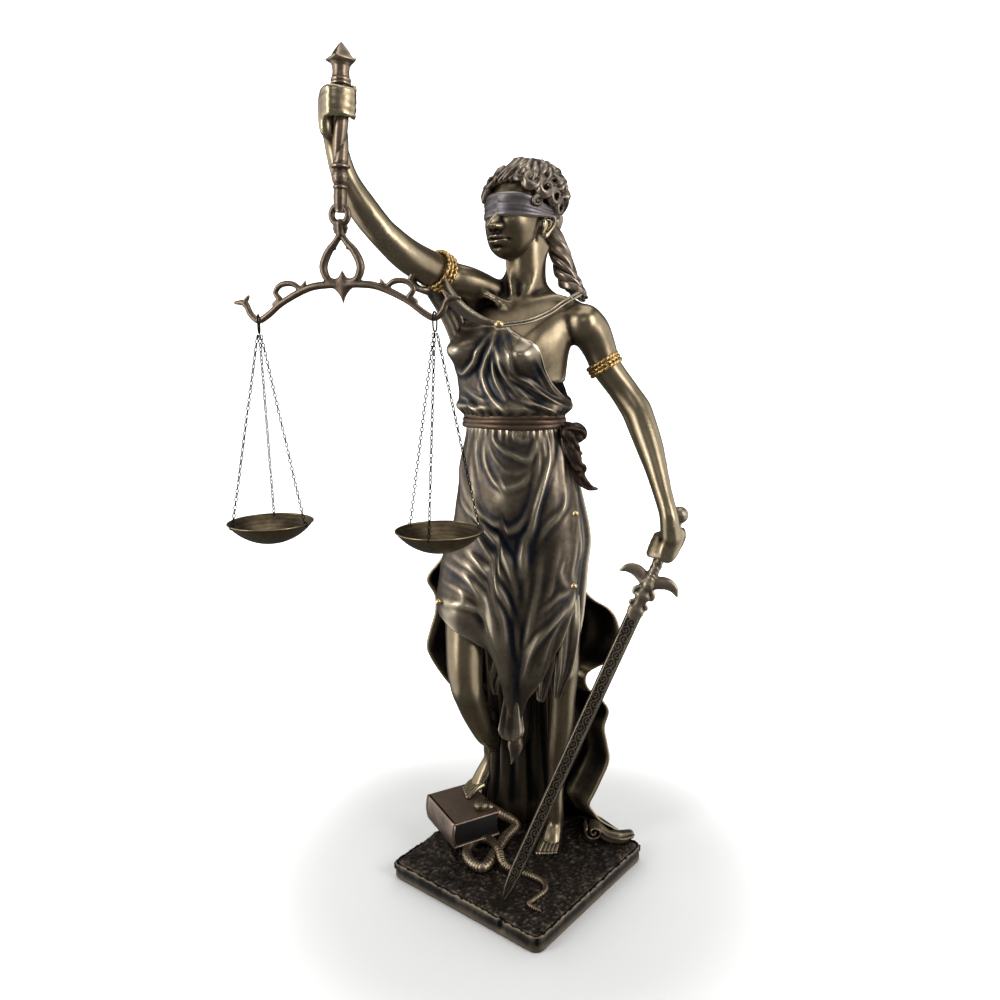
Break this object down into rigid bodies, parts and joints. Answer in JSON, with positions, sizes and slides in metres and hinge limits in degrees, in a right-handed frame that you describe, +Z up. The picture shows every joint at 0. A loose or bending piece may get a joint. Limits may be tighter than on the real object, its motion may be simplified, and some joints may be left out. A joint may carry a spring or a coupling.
{
  "type": "lady justice statue",
  "caption": "Blindfolded standing woman in draped dress who lifts a hanging balance and rests a sword on a square base, cast in bronze finish",
  "frame": {"origin": "centre of the square base's underside, which stands on the ground", "axes": "+Z up, +X and +Y along the base's sides; the figure's front is turned between -X and -Y, with her sword arm on +X"},
  "size_m": [0.3253, 0.2929, 0.7379],
  "materials": {
    "antique_bronze": "cold cast bronze resin, dark patina with rubbed highlights",
    "sword_metal": "dark bronze, rubbed edges",
    "handle_metal": "dark bronze, rubbed edges",
    "beam_metal": "cast metal with dark bronze finish",
    "ring_metal": "dark bronze wire",
    "pan_metal": "thin spun metal, dark bronze finish",
    "chain_metal": "fine dark bronze chain"
  },
  "bodies": {
    "root": {"figure_and_base": "antique_bronze", "sword": "sword_metal", "scale_handle": "handle_metal", "balance_beam": "beam_metal", "hanger_ring_left": "ring_metal", "hanger_ring_right": "ring_metal", "pan_left": "pan_metal", "pan_right": "pan_metal", "chain_left_1": "chain_metal", "chain_left_2": "chain_metal", "chain_left_3": "chain_metal", "chain_right_1": "chain_metal", "chain_right_2": "chain_metal", "chain_right_3": "chain_metal"}
  },
  "joints": []
}
